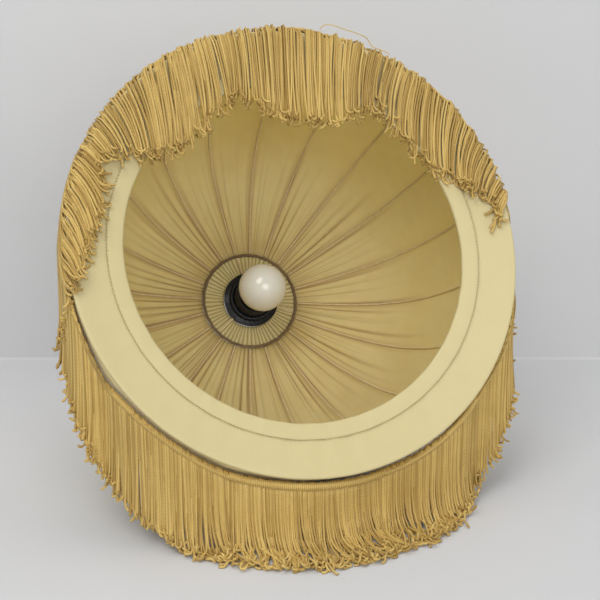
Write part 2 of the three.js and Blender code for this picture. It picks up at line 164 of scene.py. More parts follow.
def put_mesh(name, points, faces, uv=None, smooth=True, inside_out=None):
    """A mesh object at the origin from points in the shade's frame and faces; uv gives one pair per point.
    The faces are turned over when the closed mesh's signed volume comes out negative."""
    points = to_room(points.reshape(-1, 3))
    lists = [faces] if isinstance(faces, np.ndarray) else faces
    volume = 0.0
    for f in lists:
        a = points[f[:, 0]]
        for k in range(1, f.shape[1] - 1):
            volume += np.einsum("ij,ij->i", a, np.cross(points[f[:, k]], points[f[:, k + 1]])).sum()
    if (volume < 0) if inside_out is None else inside_out:
        lists = [f[:, ::-1] for f in lists]
    mesh = bpy.data.meshes.new(name)
    corners = np.concatenate([f.ravel() for f in lists]).astype(np.int32)
    sizes = np.concatenate([np.full(len(f), f.shape[1]) for f in lists])
    mesh.vertices.add(len(points))
    mesh.vertices.foreach_set("co", points.astype(np.float32).ravel())
    mesh.loops.add(len(corners))
    mesh.loops.foreach_set("vertex_index", corners)
    mesh.polygons.add(len(sizes))
    mesh.polygons.foreach_set("loop_start", np.concatenate([[0], np.cumsum(sizes)[:-1]]).astype(np.int32))
    if uv is not None:
        layer = mesh.uv_layers.new(name="cloth")
        layer.data.foreach_set("uv", uv.reshape(-1, 2)[corners].astype(np.float32).ravel())
    mesh.update(calc_edges=True)
    mesh.validate()
    mesh.polygons.foreach_set("use_smooth", np.full(len(mesh.polygons), smooth))
    mesh.update()
    piece = bpy.data.objects.new(name, mesh)
    bpy.context.scene.collection.objects.link(piece)
    return piece


def finish_piece(piece, material, slot, body, *nodes):
    """Gives a piece its material, lets it ride on its body, and lets it stand for CAD nodes. The slot argument is not
    used.
    """
    piece.data.materials.clear()
    piece.data.materials.append(material)
    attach(piece, body)
    if nodes:
        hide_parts(*nodes)
    return piece


def shade_points(piece, value, name="tone"):
    """Stores one number per point on a piece, for its material to read."""
    kept = piece.data.attributes.new(name, "FLOAT", "POINT")
    kept.data.foreach_set("value", np.ravel(value).astype(np.float32))


def tubes(lines, radius, sides, closed=False, squash=None):
    """Round tubes along many lines at once. lines is (count, steps, 3) and radius broadcasts to (count, steps).
    A normal is carried along each line: at every step its part along the new tangent is taken away. The ring of
    `sides` points is radius (cos t normal + sin t binormal)."""
    count, steps, _ = lines.shape
    tangent = np.roll(lines, -1, 1) - np.roll(lines, 1, 1)
    if not closed:
        tangent[:, 0] = lines[:, 1] - lines[:, 0]
        tangent[:, -1] = lines[:, -1] - lines[:, -2]
    tangent = unit(tangent)
    normal = np.zeros_like(lines)
    start = np.cross(tangent[:, 0], [0.3, 0.5, 0.81])
    normal[:, 0] = unit(start)
    for s in range(1, steps):
        carried = normal[:, s - 1]
        carried = carried - tangent[:, s] * (carried * tangent[:, s]).sum(-1, keepdims=True)
        normal[:, s] = unit(carried)
    across = np.cross(tangent, normal)
    t = np.arange(sides) * 2 * math.pi / sides
    radius = np.broadcast_to(radius, (count, steps))[..., None, None]
    ring = normal[:, :, None] * np.cos(t)[:, None] + across[:, :, None] * np.sin(t)[:, None]
    points = lines[:, :, None] + radius * ring
    return points, tangent


def tube_faces(count, steps, sides, closed=False):
    """The quads of many tubes; when closed, each tube's last ring joins its first."""
    one = grid_faces(steps, sides, wrap_rows=closed, wrap_columns=True)
    return (one[None] + (np.arange(count) * steps * sides)[:, None, None]).reshape(-1, 4)


# ------------------------------------------------------------------ shader groups
def group(name, inputs, outputs):
    """A new node group with named sockets: each input is (name, kind, default) and each output (name, kind)."""
    tree = bpy.data.node_groups.new(name, "ShaderNodeTree")
    for label, kind, default in inputs:
        socket = tree.interface.new_socket(label, in_out="INPUT", socket_type="NodeSocket" + kind)
        if default is not None:
            socket.default_value = default
    for label, kind in outputs:
        tree.interface.new_socket(label, in_out="OUTPUT", socket_type="NodeSocket" + kind)
    return tree, tree.nodes.new("NodeGroupInput"), tree.nodes.new("NodeGroupOutput")


def wire_up(tree, kind, settings=None, **links):
    """A node with its settings and inputs. An input is given by name, or by number as _0, and is a value or
    another node's output socket."""
    node = tree.nodes.new(kind)
    for key, value in (settings or {}).items():
        setattr(node, key, value)
    for key, value in links.items():
        socket = node.inputs[int(key[1:])] if key[1:].isdigit() and key[0] == "_" else node.inputs[key.replace("_", " ")]
        if isinstance(value, bpy.types.NodeSocket):
            tree.links.new(value, socket)
        else:
            socket.default_value = value
    return node


def maths(tree, operation, a, b=0.0, clamp=False):
    """One Math node's output."""
    return wire_up(tree, "ShaderNodeMath", {"operation": operation, "use_clamp": clamp}, _0=a, _1=b).outputs[0]


def mix_colour(tree, share, a, b, blend="MIX"):
    """A colour Mix node's output."""
    node = tree.nodes.new("ShaderNodeMix")
    node.data_type = "RGBA"
    node.blend_type = blend
    for socket, value in ((node.inputs[0], share), (node.inputs[6], a), (node.inputs[7], b)):
        if isinstance(value, bpy.types.NodeSocket):
            tree.links.new(value, socket)
        else:
            socket.default_value = value
    return node.outputs[2]


def build_groups():
    """The effects that more than one material shares."""
    made = {}
    # Uneven dye and age: two sizes of noise darken and warm a colour.
    tree, inp, out = group(
        "Uneven dye",
        [("Vector", "Vector", None), ("Colour", "Color", (1, 1, 1, 1)), ("Stain", "Color", (0.3, 0.2, 0.1, 1)),
         ("Scale", "Float", 12.0), ("Amount", "Float", 0.3)],
        [("Colour", "Color"), ("Value", "Float")],
    )
    broad = wire_up(tree, "ShaderNodeTexNoise", None, Vector=inp.outputs["Vector"], Scale=inp.outputs["Scale"], Detail=3.0)
    fine = wire_up(tree, "ShaderNodeTexNoise", None, Vector=inp.outputs["Vector"],
                   Scale=maths(tree, "MULTIPLY", inp.outputs["Scale"], 7.3), Detail=2.0)
    both = maths(tree, "ADD", maths(tree, "MULTIPLY", broad.outputs[0], 0.7), maths(tree, "MULTIPLY", fine.outputs[0], 0.3))
    spread = maths(tree, "MULTIPLY", maths(tree, "SUBTRACT", both, 0.38, True), 3.0, True)
    share = maths(tree, "MULTIPLY", spread, inp.outputs["Amount"], True)
    colour = mix_colour(tree, share, inp.outputs["Colour"], inp.outputs["Stain"])
    tree.links.new(colour, out.inputs["Colour"])
    tree.links.new(spread, out.inputs["Value"])
    made["dye"] = tree

    # Woven cloth: warp and weft as two crossed sine waves of the piece's own UV, in millimetres.
    tree, inp, out = group(
        "Plain weave",
        [("Vector", "Vector", None), ("Threads", "Float", 2.2), ("Slub", "Float", 0.5)],
        [("Height", "Float"), ("Thread", "Float")],
    )
    split = wire_up(tree, "ShaderNodeSeparateXYZ", None, Vector=inp.outputs["Vector"])
    warp_in = maths(tree, "MULTIPLY", maths(tree, "MULTIPLY", split.outputs[0], inp.outputs["Threads"]), 2 * math.pi)
    weft_in = maths(tree, "MULTIPLY", maths(tree, "MULTIPLY", split.outputs[1], inp.outputs["Threads"]), 2 * math.pi)
    warp = maths(tree, "SINE", warp_in)
    weft = maths(tree, "SINE", weft_in)
    slub = wire_up(tree, "ShaderNodeTexNoise", None, Scale=1.0, Detail=2.0,
                   Vector=wire_up(tree, "ShaderNodeVectorMath", {"operation": "MULTIPLY"},
                                  _0=inp.outputs["Vector"], _1=(1.3, 0.05, 1.0)).outputs[0])
    height = maths(tree, "ADD", maths(tree, "MULTIPLY", warp, weft),
                   maths(tree, "MULTIPLY", slub.outputs[0], inp.outputs["Slub"]))
    tree.links.new(height, out.inputs["Height"])
    tree.links.new(slub.outputs[0], out.inputs["Thread"])
    made["weave"] = tree

    # Twisted cord: plies run slantwise round a tube, as a sine of length over pitch plus turn.
    tree, inp, out = group(
        "Twisted plies",
        [("Vector", "Vector", None), ("Pitch", "Float", 4.0), ("Plies", "Float", 2.0)],
        [("Height", "Float"), ("Groove", "Float")],
    )
    split = wire_up(tree, "ShaderNodeSeparateXYZ", None, Vector=inp.outputs["Vector"])
    turn = maths(tree, "MULTIPLY", split.outputs[0], inp.outputs["Plies"])
    run = maths(tree, "DIVIDE", split.outputs[1], inp.outputs["Pitch"])
    ply = maths(tree, "SINE", maths(tree, "MULTIPLY", maths(tree, "ADD", turn, run), 2 * math.pi))
    height = maths(tree, "ADD", maths(tree, "MULTIPLY", ply, 0.5), 0.5)
    # Groove, which is most between the plies, is used for painted shade in the cord's colour.
    groove = maths(tree, "POWER", maths(tree, "SUBTRACT", 1.0, height), 2.0, True)
    tree.links.new(height, out.inputs["Height"])
    tree.links.new(groove, out.inputs["Groove"])
    made["plies"] = tree

    # Wear: fine scratches and dust from stretched noise.
    tree, inp, out = group(
        "Handling wear",
        [("Vector", "Vector", None), ("Scale", "Float", 60.0), ("Amount", "Float", 0.2)],
        [("Mask", "Float"), ("Height", "Float")],
    )
    scratch = wire_up(tree, "ShaderNodeTexNoise", None, Scale=inp.outputs["Scale"], Detail=4.0, Vector=inp.outputs["Vector"])
    mask = maths(tree, "MULTIPLY", maths(tree, "MULTIPLY", maths(tree, "SUBTRACT", scratch.outputs[0], 0.5, True), 4.0, True),
                 inp.outputs["Amount"], True)
    tree.links.new(mask, out.inputs["Mask"])
    tree.links.new(scratch.outputs[0], out.inputs["Height"])
    made["wear"] = tree
    return made


GROUPS = {}


def placed(tree, name, **links):
    """One shared group placed in a material, with its inputs."""
    if not GROUPS:
        GROUPS.update(build_groups())
    node = tree.nodes.new("ShaderNodeGroup")
    node.node_tree = GROUPS[name]
    for key, value in links.items():
        if isinstance(value, bpy.types.NodeSocket):
            tree.links.new(value, node.inputs[key])
        else:
            node.inputs[key].default_value = value
    return node


def new_material(name, roughness=0.5, metallic=0.0, **fixed):
    """A node material with its Principled shader, whose plain sockets take the fixed values."""
    material = bpy.data.materials.new(name)
    material.use_nodes = True
    tree = material.node_tree
    shader = tree.nodes["Principled BSDF"]
    shader.inputs["Roughness"].default_value = roughness
    shader.inputs["Metallic"].default_value = metallic
    for key, value in fixed.items():
        shader.inputs[key.replace("_", " ")].default_value = value
    return material, tree, shader


def bumped(tree, shader, height, strength, distance=0.001):
    """Feeds a height, in units of distance metres, to the shader's normal through a Bump node."""
    bump = wire_up(tree, "ShaderNodeBump", None, Strength=strength, Distance=distance, Height=height)
    tree.links.new(bump.outputs["Normal"], shader.inputs["Normal"])


def coords(tree, kind):
    """Object coordinates, or the piece's own UV in millimetres."""
    return tree.nodes.new("ShaderNodeTexCoord").outputs[kind]


def cloth_material(name, colour, stain, painted_shade_colour, roughness, sheen, threads, stain_amount, through):
    """Woven silk or satin: uneven dye on Object coordinates, weave and slubs on the piece's UV, a soft sheen, a
    share of the light that passes through the cloth, and painted shade from the piece's tone attribute."""
    material, tree, shader = new_material(name, roughness, Sheen_Weight=sheen, Sheen_Roughness=0.35,
                                          Subsurface_Weight=through, Subsurface_Scale=0.003,
                                          Subsurface_Radius=(1.0, 0.8, 0.45),
                                          Sheen_Tint=(1.0, 0.93, 0.72, 1.0), Specular_IOR_Level=0.35)
    uv = coords(tree, "UV")
    dye = placed(tree, "dye", Vector=coords(tree, "Object"), Colour=colour, Stain=stain, Scale=9.0, Amount=stain_amount)
    weave = placed(tree, "weave", Vector=uv, Threads=threads, Slub=1.2)
    tone = mix_colour(tree, maths(tree, "MULTIPLY", weave.outputs["Thread"], 0.22), dye.outputs["Colour"], stain)
    # Painted shade: the tone attribute mixes the colour towards the painted shade colour.
    painted_shade = wire_up(tree, "ShaderNodeAttribute", {"attribute_name": "tone"})
    deep = mix_colour(tree, maths(tree, "MULTIPLY", painted_shade.outputs["Fac"], 0.85), tone, painted_shade_colour)
    tree.links.new(deep, shader.inputs["Base Color"])
    tree.links.new(maths(tree, "ADD", roughness - 0.06, maths(tree, "MULTIPLY", weave.outputs["Thread"], 0.14)),
                   shader.inputs["Roughness"])
    bumped(tree, shader, weave.outputs["Height"], 0.25, 0.0001)
    return material


def cord_material(name, bright, deep, pitch, plies, roughness):
    """Twisted cord: the groove between the plies is painted darker as shade, and each strand has its own tone; on the
    braid the tone is painted shade between the ribs.
    """
    material, tree, shader = new_material(name, roughness, Sheen_Weight=0.25, Sheen_Roughness=0.4,
                                          Sheen_Tint=(1.0, 0.85, 0.55, 1.0), Specular_IOR_Level=0.4)
    twist = placed(tree, "plies", Vector=coords(tree, "UV"), Pitch=pitch, Plies=plies)
    tone = wire_up(tree, "ShaderNodeAttribute", {"attribute_name": "tone"})
    dye = placed(tree, "dye", Vector=coords(tree, "Object"), Colour=bright, Stain=deep, Scale=14.0, Amount=0.35)
    # Painted shade: the grooves between the plies are mixed towards the deep colour.
    shaded = mix_colour(tree, maths(tree, "MULTIPLY", twist.outputs["Groove"], 0.18), dye.outputs["Colour"], deep)
    # The tone attribute: a random tone per fringe strand, and on the braid painted shade between its ribs.
    toned = mix_colour(tree, maths(tree, "MULTIPLY", tone.outputs["Fac"], 0.8), shaded, deep)
    tree.links.new(toned, shader.inputs["Base Color"])
    bumped(tree, shader, twist.outputs["Height"], 0.18, 0.0005)
    return material


def moulded_material(name, colour, roughness, coat):
    """Dark moulded resin: faint wear lightens it and roughens it."""
    material, tree, shader = new_material(name, roughness, Coat_Weight=coat, Coat_Roughness=0.12,
                                          Specular_IOR_Level=0.3)
    wear = placed(tree, "wear", Vector=coords(tree, "Object"), Scale=180.0, Amount=0.35)
    tree.links.new(mix_colour(tree, wear.outputs["Mask"], colour, (0.05, 0.06, 0.085, 1)), shader.inputs["Base Color"])
    tree.links.new(maths(tree, "ADD", roughness, maths(tree, "MULTIPLY", wear.outputs["Mask"], 0.5)), shader.inputs["Roughness"])
    bumped(tree, shader, wear.outputs["Height"], 0.08, 0.0003)
    return material


def metal_material(name, colour, roughness):
    """Spun or pressed metal with tarnish."""
    material, tree, shader = new_material(name, roughness, 1.0)
    wear = placed(tree, "wear", Vector=coords(tree, "Object"), Scale=240.0, Amount=0.5)
    dark = tuple(c * 0.35 for c in colour[:3]) + (1,)
    tree.links.new(mix_colour(tree, wear.outputs["Mask"], colour, dark), shader.inputs["Base Color"])
    tree.links.new(maths(tree, "ADD", roughness, maths(tree, "MULTIPLY", wear.outputs["Mask"], 0.4)), shader.inputs["Roughness"])
    bumped(tree, shader, wear.outputs["Height"], 0.1, 0.0002)
    return material


def tape_material(name, colour, deep):
    """Cotton tape wound on wire: slanting bands by a wave along the way through the room, softened by noise."""
    material, tree, shader = new_material(name, 0.8, Sheen_Weight=0.12, Sheen_Tint=(1.0, 0.88, 0.6, 1.0))
    where = coords(tree, "Object")
    wave = wire_up(tree, "ShaderNodeTexWave", {"wave_type": "BANDS", "bands_direction": "DIAGONAL"},
                   Vector=where, Scale=60.0, Distortion=2.0, Detail=2.0)
    dye = placed(tree, "dye", Vector=where, Colour=colour, Stain=deep, Scale=30.0, Amount=0.5)
    tree.links.new(mix_colour(tree, maths(tree, "MULTIPLY", wave.outputs[0], 0.25), dye.outputs["Colour"], deep),
                   shader.inputs["Base Color"])
    bumped(tree, shader, wave.outputs[0], 0.5, 0.0004)
    return material


# ------------------------------------------------------------------ settings
def colour_prop(name, text, value):
    return bpy.props.FloatVectorProperty(name=name, description=text, subtype="COLOR", size=3, min=0, max=1, default=value)


class ShadeColours(bpy.types.PropertyGroup):
    """Colours of the cloths, cords and fittings, as linear light."""

    silk: colour_prop("Silk", "Gathered silk of the dome", (0.80, 0.65, 0.33))
    silk_shade: colour_prop("Silk stain", "Aged silk", (0.62, 0.45, 0.17))
    satin: colour_prop("Satin", "Under-brim and its binding", (0.665, 0.575, 0.305))
    satin_shade: colour_prop("Satin stain", "Aged satin", (0.53, 0.425, 0.20))
    cord: colour_prop("Cord", "Lit cord of the fringe", (0.74, 0.53, 0.17))
    # cord_shade is the cord's stain and darker strands' tone, and also painted shade in the ply grooves and between the
    # braid's ribs.
    cord_shade: colour_prop("Cord groove", "Grooves of the fringe's cord", (0.32, 0.18, 0.03))
    tape: colour_prop("Tape", "Tape wound on the wires", (0.84, 0.71, 0.44))
    resin: colour_prop("Resin", "Moulded lampholder", (0.0045, 0.006, 0.011))
    opal: colour_prop("Opal glass", "The bulb", (0.90, 0.81, 0.70))
    floor: colour_prop("Floor", "Floor and backdrop", (0.66, 0.665, 0.68))


class ClothSizes(bpy.types.PropertyGroup):
    """Sizes of the silk and satin."""

    fold_columns: bpy.props.IntProperty(name="Fold columns", description="Points round the dome in one bay", default=30, min=8)
    fold_rows: bpy.props.IntProperty(name="Fold rows", description="Points from rim to crown", default=44, min=12)
    fold_slope: bpy.props.FloatProperty(name="Fold slope", description="Steepness of the gathers at the crown", default=1.0)
    wall: bpy.props.FloatProperty(name="Cloth thickness", description="In millimetres", default=0.6)
    pleats: bpy.props.IntProperty(name="Crown pleats", description="Pleats in the crown's disc", default=66, min=12)
    stitch_step: bpy.props.FloatProperty(name="Stitch step", description="Millimetres from one hem stitch to the next", default=2.9)


class FringeSizes(bpy.types.PropertyGroup):
    """Sizes of the bullion fringe."""

    strands: bpy.props.IntProperty(name="Strands", description="Loops round the whole rim", default=1320, min=60)
    radius: bpy.props.FloatProperty(name="Cord radius", description="In millimetres", default=1.1)
    length: bpy.props.FloatProperty(name="Loop length", description="Millimetres from the braid to the loop's end", default=101.0)
    wander: bpy.props.FloatProperty(name="Wander", description="Sideways drift of a strand's end, in millimetres", default=3.0)


class Settings(bpy.types.PropertyGroup):
    """All of the lamp shade's settings."""

    colours: bpy.props.PointerProperty(type=ShadeColours)
    cloth: bpy.props.PointerProperty(type=ClothSizes)
    fringe: bpy.props.PointerProperty(type=FringeSizes)


def settings():
    return bpy.context.scene.lamp_shade


def paint(name):
    """A colour setting as four numbers."""
    return (*getattr(settings().colours, name), 1.0)


MATERIALS = {}


def material(name):
    """The material of that name, made when it is first asked for."""
    if name not in MATERIALS:
        make = {
            # The third colour of silk and of satin is painted shade, for folds, rib edges, crown pleats and hem
            # stitches.
            "silk": lambda: cloth_material("gathered_silk", paint("silk"), paint("silk_shade"), (0.30, 0.19, 0.06, 1), 0.5, 0.3, 2.0, 0.5, 0.5),
            "satin": lambda: cloth_material("cream_satin", paint("satin"), paint("satin_shade"), (0.30, 0.22, 0.09, 1), 0.42, 0.2, 3.0, 0.2, 0.0),
            "cord": lambda: cord_material("bullion_cord", paint("cord"), paint("cord_shade"), 3.2, 1.0, 0.5),
            "braid": lambda: cord_material("braid_cord", paint("cord"), paint("cord_shade"), 3.4, 2.0, 0.55),
            "tape": lambda: tape_material("wound_tape", paint("tape"), (0.52, 0.38, 0.17, 1)),
            "ring_tape": lambda: tape_material("dark_tape", (0.24, 0.16, 0.08, 1), (0.07, 0.045, 0.025, 1)),
            "resin": lambda: moulded_material("moulded_resin", paint("resin"), 0.42, 0.15),
            "porcelain": lambda: moulded_material("glazed_porcelain", (0.75, 0.73, 0.68, 1), 0.25, 0.5),
            "brass": lambda: metal_material("tarnished_brass", (0.55, 0.38, 0.14, 1), 0.35),
            "nickel": lambda: metal_material("dull_nickel", (0.5, 0.49, 0.46, 1), 0.32),
            "dark_glass": lambda: moulded_material("dark_glass", (0.012, 0.012, 0.015, 1), 0.15, 0.8),
            "opal": opal_material,
        }[name]
        MATERIALS[name] = make()
    return MATERIALS[name]


def opal_material():
    """Opal glass: a milky body under a clear gloss, slightly uneven in the neck."""
    made, tree, shader = new_material("opal_glass", 0.22, Coat_Weight=0.6, Coat_Roughness=0.04, Subsurface_Weight=0.25,
                                      Subsurface_Scale=0.006)
    dye = placed(tree, "dye", Vector=coords(tree, "Object"), Colour=paint("opal"), Stain=(0.7, 0.55, 0.42, 1), Scale=20.0, Amount=0.2)
    tree.links.new(dye.outputs["Colour"], shader.inputs["Base Color"])
    return made


# ------------------------------------------------------------------ cloth
def silk_points(cloth):
    """The dome's silk as rows from rim to crown by columns round the axis. Its radius follows the outline; between
    two ribs it is drawn in to the chord, R cos(half bay) / cos(angle from mid bay), by sin(pi v). Gathers add
    slope x radius / fold count along the inward normal, fading from the crown, and vanish at each rib."""
    per_bay, rows = cloth.fold_columns, cloth.fold_rows
    angle = RIB_TURN + np.arange(RIBS * per_bay) * BAY / per_bay
    across = (np.mod(angle - RIB_TURN, BAY) - BAY / 2)[None]
    v = (0.008 + 0.992 * np.linspace(0, 1, rows) ** 0.92)[:, None]
    chord = 1 - np.cos(BAY / 2) / np.cos(across)
    between = np.cos(across * math.pi / BAY) ** 2
    sag = chord * np.sin(math.pi * v) ** 0.8
    gathers = fold_profile(angle, 70, 130, 14, SEED)[None] + 0.8 * fold_profile(angle, 150, 230, 10, SEED + 1)[None] * ease(v, 0.55, 1)
    reach = ease(v + 0.12 * fold_profile(angle, 20, 70, 8, SEED + 2)[None], 0.5, 0.95)
    near_rib = np.clip(1.5 * between, 0, 1)
    r, z = outline(v)
    lift = cloth.fold_slope * r / 100 * gathers * reach * near_rib
    hollow = 1.2 * between * np.sin(math.pi * v)
    layers = []
    for depth in (0.1, 0.1 + cloth.wall):
        ro, zo = outline(v, depth + hollow + lift + 0.3)
        layers.append(polar(ro * (1 - sag), angle[None], zo))
    uv = np.stack(np.broadcast_arrays(angle[None] * RIM, v * 340), -1)
    # Painted shade: the silk is darkened in the gathers' valleys, in a narrow band beside each rib and towards the
    # crown.
    beside = np.exp(-(((np.abs(across) / BAY - 0.5) * 18 + 0.9) ** 2)) * ease(v, 0.35, 0.95)
    painted_shade = np.clip(0.8 * np.maximum(gathers, 0) ** 1.4 * reach + 0.6 * beside + 0.35 * ease(v, 0.9, 1), 0, 1)
    return layers, uv, painted_shade


class LAMPSHADE_OT_silk(bpy.types.Operator):
    """Makes the dome's gathered silk, which is stretched over the ribs and gathered at the crown"""

    bl_idname = "lampshade.silk"
    bl_label = "Gathered silk"

    def execute(self, context):
        (outer, inner), uv, painted_shade = silk_points(settings().cloth)
        rows, columns, _ = outer.shape
        points = np.concatenate([outer, inner[::-1]])
        faces = grid_faces(2 * rows, columns, wrap_rows=True, wrap_columns=True)
        silk = put_mesh("silk_cover", points, faces, np.concatenate([uv, uv[::-1]]))
        # The silk's painted shade goes into its tone attribute.
        shade_points(silk, np.concatenate([painted_shade, painted_shade[::-1]]))
        finish_piece(silk, material("silk"), "silk", "shade", "dome_cover_1", "dome_cover_2")
        return {"FINISHED"}


class LAMPSHADE_OT_crown(bpy.types.Operator):
    """Makes the finely pleated disc between the crown ring and the lampholder"""

    bl_idname = "lampshade.crown"
    bl_label = "Crown pleats"

    def execute(self, context):
        cloth = settings().cloth
        columns = cloth.pleats * 6
        angle = np.arange(columns) * 2 * math.pi / columns
        u = np.linspace(0, 1, 9)[:, None]
        fold = np.abs(np.mod(angle * cloth.pleats / (2 * math.pi) + 0.15 * np.sin(9 * angle), 1) - 0.5)[None] * 2
        r = 28 + 21.4 * u
        z = -DEPTH + 0.1 + 2.2 * fold * (0.7 + 0.3 * u) * np.ones_like(r)
        top, low = polar(r, angle[None], z + 0.3), polar(r, angle[None], z)
        points = np.concatenate([top, low[::-1]])
        uv = np.stack(np.broadcast_arrays(angle[None] * 40, np.concatenate([r, r[::-1]])), -1)
        pleats = put_mesh("crown_pleating", points, grid_faces(18, columns, True, True), uv)
        # Painted shade: the pleats are darkened in their valleys.
        dark = np.clip(2.6 * (1 - fold) - 1.1, 0, 1) * np.ones_like(r)
        shade_points(pleats, np.concatenate([dark, dark[::-1]]))
        finish_piece(pleats, material("silk"), "silk", "shade", "crown_pleats")
        return {"FINISHED"}


class LAMPSHADE_OT_brim(bpy.types.Operator):
    """Makes the satin under-brim, its binding and the hem's stitches"""

    bl_idname = "lampshade.brim"
    bl_label = "Satin under-brim"

    def execute(self, context):
        cloth = settings().cloth
        columns = 400
        angle = np.arange(columns) * 2 * math.pi / columns
        u = np.linspace(0, 1, 22)[:, None]
        r = OPENING + (RIM - 1.4 - OPENING) * u
        drawn = 0.35 * fold_profile(angle, 12, 60, 12, SEED + 3)[None] * np.sin(math.pi * u)
        ripple = 0.15 * fold_profile(angle, 60, 150, 12, SEED + 4)[None] * (ease(u, 0.72, 1) + ease(1 - u, 0.8, 1))
        z = brim_front(r) + 0.1 - 0.8 * np.sin(math.pi * u) + drawn + ripple
        # Over the rim the satin rolls back by a quarter turn, to be caught under the braid.
        bend = np.linspace(0.2, 1, 6)[:, None] * math.pi / 2
        roll = 0.12 * fold_profile(angle, 10, 60, 8, SEED + 8)[None]
        rolled_r = RIM - 1.4 + (1.7 + roll) * np.sin(bend)
        rolled_z = z[-1:] - (1.9 + roll) * (1 - np.cos(bend)) - 2.5 * ease(bend, 1.3, 1.6)
        r, z = np.concatenate([r * np.ones_like(angle)[None], rolled_r]), np.concatenate([z, rolled_z])
        slope = np.concatenate([np.zeros(22), bend[:, 0]])[:, None]
        top = polar(r, angle[None], z)
        low = polar(r - 0.5 * np.sin(slope), angle[None], z - 0.5 * np.cos(slope))
        rows = len(r)
        uv = np.stack(np.broadcast_arrays(r * np.cos(angle)[None], r * np.sin(angle)[None]), -1)
        satin = put_mesh("satin_brim", np.concatenate([top, low[::-1]]), grid_faces(2 * rows, columns, True, True),
                         np.concatenate([uv, uv[::-1]]))
        finish_piece(satin, material("satin"), "satin", "shade", "under_brim")

        # The binding: a flat band with a rounded fold over the opening's edge, puckered between its stitches.
        section = np.array([[13.4, 0.12], [12.9, 0.4], [10, 0.75], [5, 1.1], [1.2, 1.25], [-0.2, 1.0], [-0.9, 0.2],
                            [-1.1, -1.4], [-0.9, -2.4], [-0.4, -2.4], [-0.4, 0.0], [-0.1, 0.3], [5, 0.4], [10, 0.3]])
        section[:, 0] += OPENING
        columns = 720
        angle = np.arange(columns) * 2 * math.pi / columns
        radius, lift = section[:, :1], section[:, 1:]
        pucker = 0.16 * np.cos(angle * 300)[None] * (radius > OPENING + 11) + 0.22 * fold_profile(angle, 30, 90, 10, SEED + 5)[None] * (lift > 0.5)
        z = brim_front(np.maximum(radius, OPENING)) + lift + pucker
        band = polar(radius + 0.15 * fold_profile(angle, 20, 60, 8, SEED + 6)[None], angle[None], z)
        uv = np.stack(np.broadcast_arrays(angle[None] * OPENING, radius), -1)
        binding = put_mesh("opening_hem", band, grid_faces(len(section), columns, True, True), uv)
        finish_piece(binding, material("satin"), "satin", "shade", "opening_binding")

        # Hem stitches: short threads that cross the band's outer edge and pull it down.
        count = int(2 * math.pi * (OPENING + 12) / cloth.stitch_step)
        rng = np.random.default_rng(SEED + 7)
        turn = (np.arange(count) * 2 * math.pi / count + rng.normal(0, 0.0012, count))[:, None]
        steps = np.linspace(-1, 1, 5)[None]
        length = 1.2 + 0.4 * rng.random((count, 1))
        radius = OPENING + 13.3 + steps * length + rng.normal(0, 0.15, (count, 1))
        lines = polar(radius, turn + 0.002 * steps, brim_front(radius) + 0.45 + 0.35 * np.cos(steps * math.pi / 2))
        points, _ = tubes(lines, np.array([0.12, 0.3, 0.34, 0.3, 0.12])[None], 5)
        stitches = put_mesh("hem_stitches", points, tube_faces(count, 5, 5),
                            np.stack(np.broadcast_arrays(np.arange(5)[None, None] / 5, steps[..., None]
                                                         * np.ones((count, 1, 1))), -1))
        # Painted shade: the stitches are darkened evenly, for the shade in the small slits that they pull.
        shade_points(stitches, np.full(count * 25, 0.28))
        finish_piece(stitches, material("satin"), "satin", "shade")
        return {"FINISHED"}


# ------------------------------------------------------------------ fringe
def above_floor(points):
    """Height over the floor of points in the shade's frame."""
    return points @ UP + FLOOR_DROP


def push_clear(points, clear):
    """Moves points out of the shade's solid by the shortest way: outwards past the flank, forward past the brim,
    or inwards past the opening's edge. The floor lifts them straight up. Returns the points and a contact mask."""
    r = np.maximum(np.hypot(points[..., 0], points[..., 1]), 1e-6)
    z = points[..., 2]
    out = flank_radius(np.clip(-z, 0, 200)) + clear - r
    front = np.where(r > RIM, 0.0, brim_front(r)) + clear + 0.6 - z
    hole = r - (OPENING - 2 - clear)
    inside = (out > 0) & (front > 0) & (hole > 0) & (z > -40)
    take_out = inside & (out <= front) & (out <= hole)
    take_front = inside & ~take_out & (front <= hole)
    take_hole = inside & ~take_out & ~take_front
    away = np.stack([points[..., 0] / r, points[..., 1] / r, np.zeros_like(r)], -1)
    moved = points + away * (np.where(take_out, out, 0) - np.where(take_hole, hole, 0))[..., None]
    moved[..., 2] += np.where(take_front, front, 0)
    sunk = clear - above_floor(moved)
    moved = moved + UP * np.maximum(sunk, 0)[..., None]
    return moved, inside | (sunk > 0)


def follow(points, step):
    """Keeps every strand's length: from the root on, each point is set `step` from the one before, on its own side."""
    for k in range(1, points.shape[1]):
        points[:, k] = points[:, k - 1] + unit(points[:, k] - points[:, k - 1]) * step
    return points


